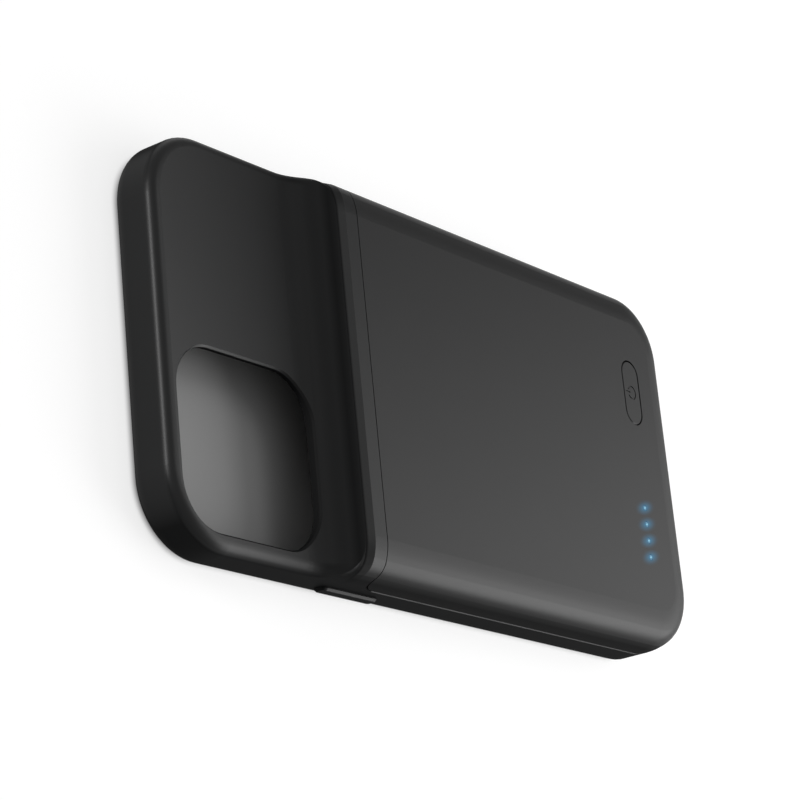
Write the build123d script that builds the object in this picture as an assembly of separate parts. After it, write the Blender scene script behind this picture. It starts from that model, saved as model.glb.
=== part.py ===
"""Battery charging case for a slab phone: a soft frame with a scooped ramp, a hard pack shell, the cell,
the boards, the plug inside the chin and the charging socket in the bottom end.

Millimetres. The case lies on its front rim at z = 0 with its back up. +Y runs to the phone's top end.
"""
import os
from math import acos, cos, degrees, radians, sin, sqrt

from build123d import *

# The phone that the case takes, and the room left round it
PHONE_LENGTH = 146.7
PHONE_WIDTH = 71.5
PHONE_THICKNESS = 7.4
PHONE_CORNER = 11.0
BAY_GAP = 0.1

# Soft frame
SIDE_WALL = 2.65
TOP_WALL = 2.2
CHIN = 5.7
LIP_DEPTH = 1.1
LIP_REACH = 1.3
BACK_WALL = 1.2
PLAN_CORNER = 13.6
FRONT_ROUND = 2.9
PANEL_ROUND = 2.2

# Pack: the thick part of the back, from the bottom end up to the crest of the ramp
CREST_FROM_CAMERA = 6.3
PACK_RISE = 5.95
PACK_EDGE_RADIUS = 4.4
PACK_EDGE_EASE_RADIUS = 11.5
PACK_EDGE_EASE_ANGLE = 20.0
SCOOP_RADIUS = 12.3
CREST_BEVEL_RUN = 1.9
CREST_BEVEL_DROP = 0.63
RAMP_WALL = 1.4

# Seam between the soft frame and the back cover
SEAM_SETBACK = 5.3
SEAM_HEIGHT = 7.8
SEAM_CORNER = 4.5
SEAM_GAP = 0.2
SEAM_EDGE = 0.25
TONGUE_GAP = 0.1
LEDGE_THICKNESS = 0.9
LEDGE_REACH = 1.5

# Camera opening in the upper panel, from the phone's edges
CAMERA_WIDTH = 33.5
CAMERA_LENGTH = 35.6
CAMERA_CORNER = 9.0
CAMERA_FROM_SIDE = 0.55
CAMERA_FROM_TOP = 0.8
CAMERA_RIM_EDGE = 0.35

# Raised covers over the phone's side keys, and the slot for its ring switch
KEY_HEIGHT = 2.6
KEY_DROP = 0.8
KEY_RAISE = 0.6
KEY_CORNER = 0.9
KEY_EDGE = 0.4
KEY_POCKET_DEPTH = 0.9
KEY_POCKET_MARGIN = 0.5
POWER_KEY_LENGTH = 16.0
POWER_KEY_FROM_TOP = 49.6
VOLUME_KEY_LENGTH = 11.0
VOLUME_KEYS_FROM_TOP = (42.5, 57.0)
RING_SLOT_LENGTH = 11.0
RING_SLOT_HEIGHT = 5.0
RING_SLOT_FROM_TOP = 29.0

# Sound slots through the chin
SOUND_SLOT_LENGTH = 12.0
SOUND_SLOT_HEIGHT = 2.6
SOUND_SLOT_X = 20.0

# Back cover
COVER_WALL = 1.4
COVER_SIDE = 1.8
CAVITY_BEVEL = 2.6
BOSS_RADIUS = 2.2
BOSS_INSET = 3.3
BOSS_FROM_END = 24.0
BOSS_FROM_SEAM = 6.5

# Inner tray
TRAY_GAP = 0.2
TRAY_FLOOR = 1.0
PAD_SIZE = 5.0
PAD_RISE = 1.0
STANDOFF_SIZE = 3.2
STANDOFF_RISE = 0.65
PIN_RADIUS = 0.7
PIN_RISE = 1.5
PIN_GAP = 0.1
TOWER_WIDTH = 16.0
TOWER_BOTTOM = 1.9
TOWER_GAP = 0.15
TOWER_FRONT = 0.9

# Screws that hold the tray to the cover
SCREW_RADIUS = 0.8
SCREW_LENGTH = 3.6
HEAD_RADIUS = 1.5
HEAD_HEIGHT = 0.8
HEAD_SLOT_LENGTH = 2.1
HEAD_SLOT_WIDTH = 0.4
HEAD_SLOT_DEPTH = 0.4
SCREW_GAP = 0.1

# Cell, its tape, tabs and protection board
CELL_GAP = 0.6
CELL_EDGE = 1.0
CELL_CORNER = 3.0
CELL_HEADROOM = 0.25
TAPE_THICKNESS = 0.3
TAPE_MARGIN = 3.0
TERRACE_LENGTH = 3.6
TERRACE_THICKNESS = 0.4
TAB_WIDTH = 5.0
TAB_LENGTH = 2.6
TAB_THICKNESS = 0.2
TAB_X = 8.0
PROTECTION_WIDTH = 28.0
PROTECTION_DEPTH = 3.0
PROTECTION_THICKNESS = 0.8
PROTECTION_GAP = 0.2
LEAD_RADIUS = 0.45
LEAD_X = 2.5
LEAD_LENGTH = 8.0
LEAD_OVERLAP = 1.6

# Main board and what is on it
BOARD_WIDTH = 58.0
BOARD_LENGTH = 21.0
BOARD_THICKNESS = 1.0
BOARD_CORNER = 8.0
BOARD_GAP = 1.1
BOARD_TO_CELL = 4.0
BOARD_HOLE_INSET = 3.2
CHIP_SIZE = 5.0
CHIP_HEIGHT = 0.9
CHIP_X = -15.0
CHIP_FROM_END = 8.4
INDUCTOR_SIZE = 5.2
INDUCTOR_HEIGHT = 2.4
INDUCTOR_ROUND = 0.8
INDUCTOR_FROM_END = 15.9
CAPACITOR_WIDTH = 0.8
CAPACITOR_LENGTH = 1.6
CAPACITOR_HEIGHT = 0.8
CAPACITOR_COUNT = 4
CAPACITOR_PITCH = 3.0
CAPACITOR_X = 9.0
CAPACITOR_FROM_END = 7.0

# Charge lights
LIGHTS_X = -15.05
LIGHTS_FROM_END = 15.4
LIGHT_COUNT = 4
LIGHT_PITCH = 3.5
LIGHT_RADIUS = 0.5
LIGHT_GAP = 0.1
LIGHT_CHIP_WIDTH = 1.6
LIGHT_CHIP_LENGTH = 0.8
LIGHT_CHIP_HEIGHT = 0.6
GUIDE_CHIP_GAP = 0.1
GUIDE_BAR_WIDTH = 3.0
GUIDE_BAR_MARGIN = 1.5
GUIDE_BAR_CORNER = 1.0

# Power button and its switch
BUTTON_LENGTH = 13.8
BUTTON_WIDTH = 5.8
BUTTON_X = 15.3
BUTTON_FROM_END = 14.9
BUTTON_GAP = 0.2
BUTTON_EDGE = 0.2
BUTTON_FLANGE = 0.9
BUTTON_FLANGE_THICKNESS = 0.8
BUTTON_TRAVEL = 0.3
BUTTON_POST_RADIUS = 1.5
MARK_RADIUS = 1.35
MARK_LINE = 0.3
MARK_OPENING = 1.3
MARK_BAR_LENGTH = 1.5
MARK_DEPTH = 0.15
FLANGE_GAP = 0.05
SWITCH_SIZE = 4.6
SWITCH_HEIGHT = 1.2
PLUNGER_RADIUS = 1.0
PLUNGER_RISE = 0.5
PLUNGER_SINK = 0.35
PLUNGER_GAP = 0.15

# Plug that enters the phone
PLUG_WIDTH = 6.65
PLUG_THICKNESS = 1.5
PLUG_REACH = 6.7
PLUG_TIP_EDGE = 0.35
PLUG_SLOT_GAP = 0.2
BASE_WIDTH = 11.6
BASE_HEIGHT = 4.0
BASE_GAP = 0.1
CONTACT_COUNT = 8
CONTACT_PITCH = 0.7
CONTACT_WIDTH = 0.4
CONTACT_LENGTH = 2.9
CONTACT_DEPTH = 0.2
CONTACT_FROM_TIP = 0.9
FLEX_WIDTH = 7.0
FLEX_THICKNESS = 0.2
FLEX_BEND = 0.6
FLEX_BOARD_REACH = 4.0
FLEX_SLOT_GAP = 0.3

# Charging socket in the bottom end
SOCKET_WIDTH = 8.94
SOCKET_HEIGHT = 3.26
SOCKET_DEPTH = 7.3
SOCKET_SHEET = 0.3
SOCKET_RECESS = 1.4
SOCKET_RISE = 0.12
SOCKET_GAP = 0.25
SOCKET_BASE_DEPTH = 2.0
TONGUE_WIDTH = 6.7
TONGUE_THICKNESS = 0.7
TONGUE_LENGTH = 4.4
PORT_RECESS_WIDTH = 12.8
PORT_RECESS_HEIGHT = 7.0
PORT_RECESS_DEPTH = 1.1

# Overall sizes and levels
BAY_WIDTH = PHONE_WIDTH + 2 * BAY_GAP
BAY_LENGTH = PHONE_LENGTH + 2 * BAY_GAP
CASE_WIDTH = BAY_WIDTH + 2 * SIDE_WALL
CASE_LENGTH = BAY_LENGTH + TOP_WALL + CHIN
BAY_TOP = LIP_DEPTH + PHONE_THICKNESS + BAY_GAP
PHONE_MIDDLE = LIP_DEPTH + PHONE_THICKNESS / 2
KEY_MIDDLE = PHONE_MIDDLE - KEY_DROP
PANEL_TOP = BAY_TOP + BACK_WALL
PACK_TOP = PANEL_TOP + PACK_RISE
COVER_CEILING = PACK_TOP - COVER_WALL
FLOOR_TOP = BAY_TOP + TRAY_FLOOR
BOARD_BOTTOM = FLOOR_TOP + STANDOFF_RISE
BOARD_TOP = BOARD_BOTTOM + BOARD_THICKNESS

# Places along the case
END_Y = -CASE_LENGTH / 2
BAY_END_Y = END_Y + CHIN
BAY_MIDDLE_Y = BAY_END_Y + BAY_LENGTH / 2
PHONE_TOP_Y = BAY_END_Y + BAY_GAP + PHONE_LENGTH
CAMERA_Y = PHONE_TOP_Y - CAMERA_FROM_TOP - CAMERA_LENGTH / 2
CREST_Y = CAMERA_Y - CAMERA_LENGTH / 2 - CREST_FROM_CAMERA
SEAM_Y = CREST_Y - SEAM_SETBACK
RAMP_RISE = PACK_RISE - CREST_BEVEL_DROP
EASE_COS = cos(radians(PACK_EDGE_EASE_ANGLE))
EASE_SIN = sin(radians(PACK_EDGE_EASE_ANGLE))
PACK_EDGE_REACH = PACK_EDGE_EASE_RADIUS * (EASE_SIN + 1 - EASE_COS) + PACK_EDGE_RADIUS * (EASE_COS - EASE_SIN)
SCOOP_Y = CREST_Y + sqrt(SCOOP_RADIUS**2 - (SCOOP_RADIUS - RAMP_RISE) ** 2)
SCOOP_Z = PANEL_TOP + SCOOP_RADIUS
RAMP_ANGLE = acos((SCOOP_RADIUS - RAMP_RISE) / SCOOP_RADIUS)
BOARD_END_Y = END_Y + COVER_SIDE + BOARD_GAP
BOARD_FRONT_Y = BOARD_END_Y + BOARD_LENGTH
BOARD_MIDDLE_Y = BOARD_END_Y + BOARD_LENGTH / 2
BOARD_FRONT_PIN_Y = BOARD_FRONT_Y - BOARD_HOLE_INSET
TERRACE_END_Y = BOARD_FRONT_Y + BOARD_TO_CELL
CELL_END_Y = TERRACE_END_Y + TERRACE_LENGTH
CELL_FRONT_Y = SEAM_Y - LEDGE_REACH - CELL_GAP
LIGHTS_Y = END_Y + LIGHTS_FROM_END
BUTTON_Y = END_Y + BUTTON_FROM_END
SOCKET_MOUTH_Y = END_Y + SOCKET_RECESS
SOCKET_BACK_Y = SOCKET_MOUTH_Y + SOCKET_DEPTH
TOWER_BACK_Y = END_Y + COVER_SIDE + TRAY_GAP + TOWER_GAP
PLUG_SHOULDER_Y = BAY_END_Y - TOWER_FRONT
PLUG_TIP_Y = BAY_END_Y + PLUG_REACH

# Places across the case
CAMERA_X = -PHONE_WIDTH / 2 + CAMERA_FROM_SIDE + CAMERA_WIDTH / 2
BOSS_X = CASE_WIDTH / 2 - COVER_SIDE - BOSS_INSET
CELL_WIDTH = 2 * (BOSS_X - PAD_SIZE / 2 - CELL_GAP)
PIN_X = BOARD_WIDTH / 2 - BOARD_HOLE_INSET

# Levels inside the pack
CELL_BOTTOM = FLOOR_TOP + TAPE_THICKNESS
CELL_TOP = COVER_CEILING - CELL_HEADROOM
SCREW_PAD_TOP = FLOOR_TOP + PAD_RISE
HEAD_TOP = BAY_TOP + HEAD_HEIGHT
SCREW_TIP = HEAD_TOP + SCREW_LENGTH
FLEX_TOP = BOARD_BOTTOM
SOCKET_Z = BOARD_BOTTOM + SOCKET_RISE + SOCKET_HEIGHT / 2
LIGHT_CHIP_TOP = BOARD_TOP + LIGHT_CHIP_HEIGHT
SWITCH_TOP = BOARD_TOP + SWITCH_HEIGHT
PLUNGER_TOP = SWITCH_TOP + PLUNGER_RISE
FLANGE_TOP = COVER_CEILING - FLANGE_GAP
PROTECTION_TOP = CELL_BOTTOM + TERRACE_THICKNESS + PROTECTION_THICKNESS

# Two-sided cutters reach this far past the faces that they cut
PAST = 1.0


def along_x(section, start, stop):
    """A section drawn in Y and Z, carried from one X to another."""
    return extrude(Plane.YZ.offset(start) * section, stop - start)


def along_y(section, start, stop):
    """A section drawn in X and Z, carried from one Y to another."""
    return extrude(Plane.XZ.offset(-start) * section, start - stop)


def along_z(section, low, high):
    """A section drawn in X and Y, carried from one height to another."""
    return extrude(Pos(0, 0, low) * section, high - low)


def block(x, y, z):
    """A block between a pair of limits on each axis."""
    middle = [(low + high) / 2 for low, high in (x, y, z)]
    sizes = [high - low for low, high in (x, y, z)]
    return Pos(*middle) * Box(*sizes)


def half_space(front):
    """All of the case's room behind a plane across it."""
    return block((-CASE_WIDTH, CASE_WIDTH), (END_Y - PAST, front), (-PAST, PACK_TOP + PAST))


def outline(inset):
    """The case's plan, set in from its edge."""
    return RectangleRounded(CASE_WIDTH - 2 * inset, CASE_LENGTH - 2 * inset, PLAN_CORNER - inset)


def bay_outline(inset):
    """The phone bay's plan, set in from its wall."""
    corner = PHONE_CORNER + BAY_GAP - inset
    return Pos(0, BAY_MIDDLE_Y) * RectangleRounded(BAY_WIDTH - 2 * inset, BAY_LENGTH - 2 * inset, corner)


def slab(height):
    """The case's plan carried up to a height, with its front edge rounded."""
    body = along_z(outline(0), 0, height)
    return fillet(body.faces().sort_by(Axis.Z)[0].edges(), FRONT_ROUND)


def thin_body():
    """The slab at the upper panel's height, with the panel's edge rounded."""
    body = slab(PANEL_TOP)
    return fillet(body.faces().sort_by(Axis.Z)[-1].edges(), PANEL_ROUND)


def carried_round(section, height):
    """A section carried round the case's plan: X is out from the edge and Y is up from a height."""
    path = outline(0).wire().moved(Pos(0, 0, height))
    start = path @ 0
    stand = Plane(origin=start, x_dir=(start.X, start.Y, 0), z_dir=-(path % 0))
    return sweep(stand * section, path)


def edge_curve():
    """The full curve of the pack's back edge, from the top down to the side: easy, tight and easy again."""
    ease = (PACK_EDGE_EASE_RADIUS, -PACK_EDGE_EASE_ANGLE)
    first = JernArc((-PACK_EDGE_REACH, 0), (1, 0), *ease)
    middle = JernArc(first @ 1, first % 1, PACK_EDGE_RADIUS, 2 * PACK_EDGE_EASE_ANGLE - 90)
    last = JernArc(middle @ 1, middle % 1, *ease)
    return first + middle + last


def pack_edge():
    """What is taken off the pack's back edge, all round."""
    reach = PACK_EDGE_REACH
    rim = Polyline((0, -reach), (PAST, -reach), (PAST, PAST), (-reach, PAST), (-reach, 0))
    return carried_round(make_face(edge_curve().edges() + rim.edges()), PACK_TOP)


def crest_edge():
    """What is taken off at the crest: a strip that slopes down to the ramp and runs out on the sides."""
    side, shoulder = CASE_WIDTH / 2, PACK_TOP - PACK_EDGE_REACH
    right = Pos(side, PACK_TOP) * edge_curve()
    ridge = Line((PACK_EDGE_REACH - side, PACK_TOP), (side - PACK_EDGE_REACH, PACK_TOP))
    beyond, above = side + PAST, PACK_TOP + 2 * PAST
    right_rim = Polyline((side, shoulder), (beyond, shoulder), (beyond, above), (0, above))
    half = right.edges() + right_rim.edges()
    outside = make_face(half + [mirror(edge, Plane.YZ) for edge in half] + ridge.edges())
    start = Plane.XZ.offset(CREST_BEVEL_RUN - CREST_Y) * outside
    slope = Vector(0, CREST_BEVEL_RUN, -CREST_BEVEL_DROP)
    strip = extrude(start, slope.length, slope)
    return strip + along_y(Pos(0, -CREST_BEVEL_DROP) * outside, SCOOP_Y, CREST_Y)


def ramp():
    """The concave sweep from panel to crest: the panel's section, turned about the scoop's axis."""
    depth = SCOOP_Z / cos(RAMP_ANGLE) - SCOOP_RADIUS + PAST
    section = Rectangle(CASE_WIDTH, depth, align=(Align.CENTER, Align.MAX))
    section = fillet(section.vertices().group_by(Axis.Y)[-1], PANEL_ROUND)
    stand = Plane(origin=(0, SCOOP_Y, PANEL_TOP), x_dir=(1, 0, 0), z_dir=(0, -1, 0))
    return revolve(stand * section, Axis((0, SCOOP_Y, SCOOP_Z), (-1, 0, 0)), degrees(RAMP_ANGLE))


def case_body():
    """The whole outer form: thin upper part, scooped ramp, bevelled crest and thick pack."""
    thick = slab(PACK_TOP)
    thin = thin_body() - half_space(SCOOP_Y)
    pack = thick & half_space(CREST_Y)
    return thin + ((ramp() & thick) + pack - pack_edge() - crest_edge())


def pack_zone(gap):
    """All of the room behind the seam, set back from it by a gap."""
    front, low = SEAM_Y - gap, SEAM_HEIGHT + gap
    depth, height = front - END_Y + PAST, PACK_TOP + PAST - low
    section = Pos(front, low) * Rectangle(depth, height, align=(Align.MAX, Align.MIN))
    corner = section.vertices().sort_by_distance((front, low))[0]
    return along_x(fillet(corner, SEAM_CORNER), -CASE_WIDTH, CASE_WIDTH)


def seam_bevel():
    """What is taken off the frame's outer edge along the seam's straight run."""
    section = Polygon(
        (-SEAM_EDGE, 0), (0, -SEAM_EDGE), (PAST, -SEAM_EDGE), (PAST, PAST), (-SEAM_EDGE, PAST), align=None
    )
    return carried_round(section.face(), SEAM_HEIGHT) & half_space(SEAM_Y - SEAM_CORNER)


def seam_tongue():
    """The frame's thin rim that stands up inside the cover's wall and carries the tray."""
    return along_z(outline(COVER_SIDE + TONGUE_GAP), SEAM_HEIGHT, BAY_TOP) & half_space(SEAM_Y)


def seam_ledge():
    """The frame's lip under the cover's front edge."""
    top = COVER_CEILING - TONGUE_GAP
    reach = BOSS_X - BOSS_RADIUS
    return block((-reach, reach), (SEAM_Y - LEDGE_REACH, SEAM_Y + PAST), (top - LEDGE_THICKNESS, top))


def ramp_pocket():
    """The hollow that keeps the ramp's wall even, open towards the cell."""
    ceiling = COVER_CEILING - TONGUE_GAP - LEDGE_THICKNESS
    length = SCOOP_Y - SEAM_Y
    section = Pos(SEAM_Y, PANEL_TOP) * Rectangle(length, ceiling - PANEL_TOP, align=(Align.MIN, Align.MIN))
    section -= Pos(SCOOP_Y, SCOOP_Z) * Circle(SCOOP_RADIUS + RAMP_WALL)
    reach = CASE_WIDTH / 2 - PACK_EDGE_REACH
    return along_x(section, -reach, reach)


def camera_opening():
    """The opening for the phone's cameras, through the upper panel."""
    shape = RectangleRounded(CAMERA_WIDTH, CAMERA_LENGTH, CAMERA_CORNER)
    return along_z(Pos(CAMERA_X, CAMERA_Y) * shape, PHONE_MIDDLE, PACK_TOP)


def on_camera_rim(edge):
    """Whether an edge is on the outer rim of the camera opening."""
    place = edge.center()
    beside_x = abs(place.X - CAMERA_X) < CAMERA_WIDTH / 2 + CAMERA_RIM_EDGE
    beside_y = abs(place.Y - CAMERA_Y) < CAMERA_LENGTH / 2 + CAMERA_RIM_EDGE
    return beside_x and beside_y and place.Z > BAY_TOP + BACK_WALL / 2


def key_cover(side, from_top, length):
    """A raised cover over one of the phone's keys."""
    y = PHONE_TOP_Y - from_top
    pad = Pos(y, KEY_MIDDLE) * RectangleRounded(length, KEY_HEIGHT, KEY_CORNER)
    pad = along_x(pad, side * (CASE_WIDTH / 2 - SIDE_WALL / 2), side * (CASE_WIDTH / 2 + KEY_RAISE))
    return chamfer(pad.faces().sort_by(Axis.X)[0 if side < 0 else -1].edges(), KEY_EDGE)


def key_pocket(side, from_top, length):
    """The relief in the bay's wall behind a key cover."""
    height = KEY_HEIGHT + 2 * KEY_POCKET_MARGIN
    shape = SlotOverall(length + 2 * KEY_POCKET_MARGIN, height)
    pocket = Pos(PHONE_TOP_Y - from_top, KEY_MIDDLE) * shape
    wall = BAY_WIDTH / 2
    return along_x(pocket, side * (wall - PAST), side * (wall + KEY_POCKET_DEPTH))


def soft_frame():
    """The flexible moulding that holds the phone."""
    keys = [(-1, POWER_KEY_FROM_TOP, POWER_KEY_LENGTH)]
    keys += [(1, from_top, VOLUME_KEY_LENGTH) for from_top in VOLUME_KEYS_FROM_TOP]
    frame = case_body() - pack_zone(0) - seam_bevel() + seam_tongue()
    frame -= along_z(outline(COVER_SIDE + TONGUE_GAP), BAY_TOP, PACK_TOP) & half_space(SEAM_Y)
    frame = frame - ramp_pocket() + seam_ledge()
    frame -= camera_opening()
    frame = chamfer(frame.edges().filter_by(on_camera_rim), CAMERA_RIM_EDGE)
    for key in keys:
        frame += key_cover(*key)
    frame -= along_z(bay_outline(0), LIP_DEPTH, BAY_TOP)
    frame -= along_z(bay_outline(LIP_REACH), -PAST, LIP_DEPTH)
    for key in keys:
        frame -= key_pocket(*key)
    ring_slot = SlotOverall(RING_SLOT_LENGTH, RING_SLOT_HEIGHT)
    ring_slot = Pos(PHONE_TOP_Y - RING_SLOT_FROM_TOP, PHONE_MIDDLE) * ring_slot
    frame -= along_x(ring_slot, BAY_WIDTH / 2 - PAST, CASE_WIDTH / 2 + PAST)
    for side in (-1, 1):
        slot = Pos(side * SOUND_SLOT_X, PHONE_MIDDLE) * SlotOverall(SOUND_SLOT_LENGTH, SOUND_SLOT_HEIGHT)
        frame -= along_y(slot, BAY_END_Y + PAST, END_Y - PAST)
    reach = TOWER_WIDTH / 2 + TOWER_GAP
    well = (TOWER_BACK_Y - TOWER_GAP, BAY_END_Y + PAST)
    return frame - block((-reach, reach), well, (TOWER_BOTTOM - TOWER_GAP, BAY_TOP + PAST))


def boss_places():
    """The screw places, in pairs near the pack's two ends."""
    rows = (END_Y + BOSS_FROM_END, SEAM_Y - BOSS_FROM_SEAM)
    return [Pos(side * BOSS_X, y) for y in rows for side in (-1, 1)]


def board_corners(y):
    """A pair of places near the main board's sides."""
    return [Pos(side * PIN_X, y) for side in (-1, 1)]


def light_places():
    """The charge lights' places, in a row across the pack."""
    first = LIGHTS_X - LIGHT_PITCH * (LIGHT_COUNT - 1) / 2
    return [Pos(first + LIGHT_PITCH * i, LIGHTS_Y) for i in range(LIGHT_COUNT)]


def button_shape(margin):
    """The button's pill outline, grown by a margin."""
    return Pos(BUTTON_X, BUTTON_Y) * SlotOverall(BUTTON_LENGTH + 2 * margin, BUTTON_WIDTH + 2 * margin)


def socket_shape(margin):
    """The socket's section, grown by a margin."""
    return Pos(0, SOCKET_Z) * SlotOverall(SOCKET_WIDTH + 2 * margin, SOCKET_HEIGHT + 2 * margin)


def back_cover():
    """The hard shell over the pack, with its screw bosses, button hole, light holes and socket hole."""
    form = (slab(PACK_TOP) & pack_zone(SEAM_GAP)) - pack_edge()
    cavity = along_z(outline(COVER_SIDE), 0, COVER_CEILING)
    cavity = chamfer(cavity.faces().sort_by(Axis.Z)[-1].edges(), CAVITY_BEVEL)
    cover = form - cavity
    for place in boss_places():
        cover += along_z(place * Circle(BOSS_RADIUS), SCREW_PAD_TOP, COVER_CEILING + COVER_WALL / 2) & form
        cover -= along_z(place * Circle(SCREW_RADIUS + SCREW_GAP / 2), SCREW_PAD_TOP, SCREW_TIP + SCREW_GAP)
    cover -= along_z(button_shape(BUTTON_GAP), COVER_CEILING - PAST, PACK_TOP + PAST)
    for place in light_places():
        cover -= along_z(place * Circle(LIGHT_RADIUS + LIGHT_GAP), COVER_CEILING - PAST, PACK_TOP + PAST)
    cover -= along_y(socket_shape(SOCKET_GAP), SOCKET_BACK_Y, END_Y - PAST)
    recess = Pos(0, SOCKET_Z) * SlotOverall(PORT_RECESS_WIDTH, PORT_RECESS_HEIGHT)
    return cover - along_y(recess, END_Y + PORT_RECESS_DEPTH, END_Y - PAST)


def plug_tower():
    """The tray's block in the chin that holds the plug, open at its back."""
    reach = TOWER_WIDTH / 2
    tower = block((-reach, reach), (TOWER_BACK_Y, BAY_END_Y), (TOWER_BOTTOM, BAY_TOP))
    seat = Pos(0, PHONE_MIDDLE) * Rectangle(BASE_WIDTH + 2 * BASE_GAP, BASE_HEIGHT + 2 * BASE_GAP)
    tower -= along_y(seat, PLUG_SHOULDER_Y, TOWER_BACK_Y - PAST)
    slot = SlotOverall(PLUG_WIDTH + 2 * PLUG_SLOT_GAP, PLUG_THICKNESS + 2 * PLUG_SLOT_GAP)
    return tower - along_y(Pos(0, PHONE_MIDDLE) * slot, BAY_END_Y + PAST, PLUG_SHOULDER_Y - PAST)


def flex_y():
    """Where the flat cable stands in the chin: behind the middle of the plug's base."""
    return (TOWER_BACK_Y + PLUG_SHOULDER_Y) / 2


def inner_tray():
    """The hard plate between phone and pack, with screw pads, board standoffs and the plug's tower."""
    tray = along_z(outline(COVER_SIDE + TRAY_GAP), BAY_TOP, FLOOR_TOP) & half_space(SEAM_Y - SEAM_GAP)
    tray += plug_tower()
    for place in boss_places():
        tray += along_z(place * Rectangle(PAD_SIZE, PAD_SIZE), BAY_TOP, SCREW_PAD_TOP)
        tray -= along_z(place * Circle(SCREW_RADIUS + SCREW_GAP), BAY_TOP - PAST, SCREW_PAD_TOP + PAST)
        tray -= along_z(place * Circle(HEAD_RADIUS + SCREW_GAP), BAY_TOP - PAST, HEAD_TOP)
    for place in board_corners(BOARD_FRONT_PIN_Y) + board_corners(BOARD_END_Y + BOARD_CORNER / 2):
        tray += along_z(place * Rectangle(STANDOFF_SIZE, STANDOFF_SIZE), FLOOR_TOP, BOARD_BOTTOM)
    for place in board_corners(BOARD_FRONT_PIN_Y):
        tray += along_z(place * Circle(PIN_RADIUS), BOARD_BOTTOM, BOARD_BOTTOM + PIN_RISE)
    reach = FLEX_WIDTH / 2 + FLEX_SLOT_GAP
    middle = flex_y()
    slot = (middle - FLEX_THICKNESS - FLEX_SLOT_GAP, middle + FLEX_BEND + FLEX_SLOT_GAP)
    return tray - block((-reach, reach), slot, (PHONE_MIDDLE, FLOOR_TOP + PAST))


def housing_screws():
    """Flat-headed screws, put in from the phone's side, with a cross in the head."""
    shank = along_z(Circle(SCREW_RADIUS), HEAD_TOP, SCREW_TIP)
    head = along_z(Circle(HEAD_RADIUS), BAY_TOP, HEAD_TOP)
    for turn in (0, 90):
        cross = Rot(0, 0, turn) * Rectangle(HEAD_SLOT_LENGTH, HEAD_SLOT_WIDTH)
        head -= along_z(cross, BAY_TOP, BAY_TOP + HEAD_SLOT_DEPTH)
    screw = shank + head
    return [place * screw for place in boss_places()]


def battery_cell():
    """The pouch cell with its sealed terrace towards the boards."""
    middle = (CELL_FRONT_Y + CELL_END_Y) / 2
    shape = RectangleRounded(CELL_WIDTH, CELL_FRONT_Y - CELL_END_Y, CELL_CORNER)
    cell = along_z(Pos(0, middle) * shape, CELL_BOTTOM, CELL_TOP)
    cell = chamfer(cell.faces().sort_by(Axis.Z)[-1].edges(), CELL_EDGE)
    reach = CELL_WIDTH / 2 - CELL_CORNER
    terrace = (TERRACE_END_Y, CELL_END_Y + CELL_EDGE)
    return cell + block((-reach, reach), terrace, (CELL_BOTTOM, CELL_BOTTOM + TERRACE_THICKNESS))


def cell_tape():
    """The foam tape that holds the cell to the tray."""
    length = CELL_FRONT_Y - CELL_END_Y - 2 * TAPE_MARGIN
    shape = Rectangle(CELL_WIDTH - 2 * TAPE_MARGIN, length)
    return along_z(Pos(0, (CELL_FRONT_Y + CELL_END_Y) / 2) * shape, FLOOR_TOP, CELL_BOTTOM)


def cell_tabs():
    """Two nickel tabs, from the cell's end face on to the protection board."""
    y = (CELL_END_Y - TAB_LENGTH, CELL_END_Y)
    z = (PROTECTION_TOP, PROTECTION_TOP + TAB_THICKNESS)
    places = (-TAB_X, TAB_X)
    return [block((x - TAB_WIDTH / 2, x + TAB_WIDTH / 2), y, z) for x in places]


def protection_board():
    """The narrow board on the cell's terrace."""
    reach = PROTECTION_WIDTH / 2
    front = CELL_END_Y - PROTECTION_GAP
    low = CELL_BOTTOM + TERRACE_THICKNESS
    return block((-reach, reach), (front - PROTECTION_DEPTH, front), (low, PROTECTION_TOP))


def battery_leads():
    """Two short leads that bridge the gap between the boards."""
    start = BOARD_FRONT_Y - LEAD_OVERLAP
    level = max(BOARD_TOP, PROTECTION_TOP) + LEAD_RADIUS
    places = (-LEAD_X, LEAD_X)
    return [along_y(Pos(x, level) * Circle(LEAD_RADIUS), start, start + LEAD_LENGTH) for x in places]


def main_board():
    """The circuit board, notched for the socket and located on the tray's pins."""
    shape = Pos(0, BOARD_MIDDLE_Y) * Rectangle(BOARD_WIDTH, BOARD_LENGTH)
    shape = fillet(shape.vertices().group_by(Axis.Y)[0], BOARD_CORNER)
    board = along_z(shape, BOARD_BOTTOM, BOARD_TOP)
    reach = SOCKET_WIDTH / 2 + SOCKET_GAP
    notch = (BOARD_END_Y - PAST, SOCKET_BACK_Y + SOCKET_GAP)
    board -= block((-reach, reach), notch, (BOARD_BOTTOM - PAST, BOARD_TOP + PAST))
    for place in board_corners(BOARD_FRONT_PIN_Y):
        board -= along_z(place * Circle(PIN_RADIUS + PIN_GAP), BOARD_BOTTOM - PAST, BOARD_TOP + PAST)
    return board


def control_chip():
    """The charge controller."""
    place = Pos(CHIP_X, END_Y + CHIP_FROM_END)
    return along_z(place * Rectangle(CHIP_SIZE, CHIP_SIZE), BOARD_TOP, BOARD_TOP + CHIP_HEIGHT)


def power_inductor():
    """The boost converter's shielded coil."""
    shape = RectangleRounded(INDUCTOR_SIZE, INDUCTOR_SIZE, INDUCTOR_ROUND)
    return along_z(Pos(0, END_Y + INDUCTOR_FROM_END) * shape, BOARD_TOP, BOARD_TOP + INDUCTOR_HEIGHT)


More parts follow.
